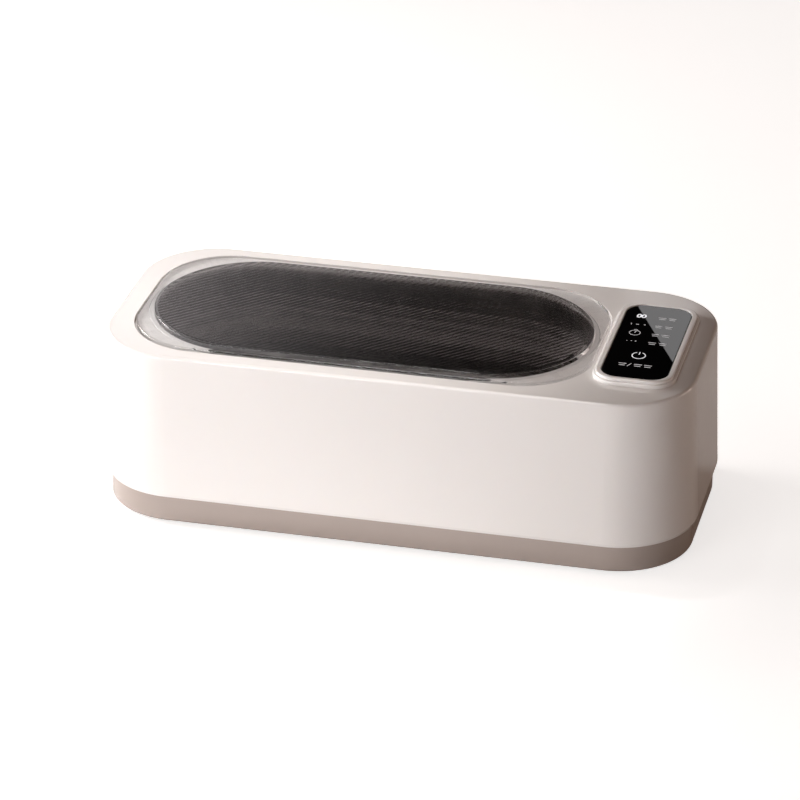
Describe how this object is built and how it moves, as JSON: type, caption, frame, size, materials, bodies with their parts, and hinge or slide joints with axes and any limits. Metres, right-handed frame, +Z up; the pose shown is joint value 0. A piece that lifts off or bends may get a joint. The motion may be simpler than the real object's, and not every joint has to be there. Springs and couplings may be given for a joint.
{
  "type": "ultrasonic cleaner",
  "caption": "Small oblong ultrasonic cleaner: white housing on a base tray, steel tank under a clear lift-off lid with a smoked ribbed window, raised touch panel at one end.",
  "frame": {"origin": "centre of the footprint, on the plane the rubber feet rest on", "axes": "+Z up, +X towards the touch panel end, +Y towards the back"},
  "size_m": [0.209, 0.0946, 0.0667],
  "materials": {
    "housing_white": "glossy warm white moulding",
    "bezel_white": "glossy warm white moulding",
    "base_greige": "satin-gloss greige moulding",
    "foot_rubber": "matt",
    "screw_steel": "zinc plated",
    "tank_steel": "drawn and polished",
    "seal_silicone": "translucent silicone",
    "lid_clear": "clear, polished",
    "window_smoke": "smoked, finely ribbed",
    "panel_black": "mirror gloss",
    "mask_black": "matt",
    "board_green": "solder mask",
    "spring_steel": "bright",
    "led_white": "phosphor lens",
    "chip_black": "moulded epoxy",
    "buzzer_black": "matt",
    "mass_aluminium": "turned",
    "electrode_brass": "rolled sheet",
    "piezo_ceramic": "fired, silvered faces",
    "mass_steel": "turned",
    "winding_tape": "wound polyester tape",
    "ferrite": "sintered ferrite",
    "inductor_wrap": "shrink sleeve",
    "capacitor_sleeve": "printed sleeve, no lettering",
    "film_yellow": "cast box",
    "sink_aluminium": "extruded",
    "connector_white": "nylon",
    "socket_black": "moulded",
    "wire_red": "PVC sleeve",
    "wire_black": "PVC sleeve",
    "ribbon_grey": "flat cable"
  },
  "bodies": {
    "cleaner": {"upper_housing": "housing_white", "base_tray": "base_greige", "rubber_feet": "foot_rubber", "housing_screws": "screw_steel", "tank": "tank_steel", "tank_seal": "seal_silicone", "panel_bezel": "bezel_white", "panel_glass": "panel_black", "light_mask": "mask_black", "touch_pcb": "board_green", "touch_springs": "spring_steel", "indicator_leds": "led_white", "control_chip": "chip_black", "buzzer": "buzzer_black", "touch_pcb_screws": "screw_steel", "transducer_front_mass": "mass_aluminium", "transducer_electrodes": "electrode_brass", "piezo_rings": "piezo_ceramic", "transducer_back_mass": "mass_steel", "transducer_bolt": "screw_steel", "driver_pcb": "board_green", "driver_pcb_screws": "screw_steel", "transformer_winding": "winding_tape", "transformer_core": "ferrite", "output_inductor": "inductor_wrap", "bulk_capacitor": "capacitor_sleeve", "film_capacitors": "film_yellow", "heat_sink": "sink_aluminium", "power_transistors": "chip_black", "board_connectors": "connector_white", "dc_socket": "socket_black", "dc_socket_nut": "screw_steel", "dc_leads": "wire_red", "transducer_leads": "wire_black", "panel_ribbon": "ribbon_grey"},
    "lid": {"clear_lid": "lid_clear", "lid_window": "window_smoke"}
  },
  "joints": [
    {"name": "lid_lift", "type": "slide", "parent": "cleaner", "child": "lid", "axis": [0, 0, 1], "range_m": [0, 0.07]}
  ]
}
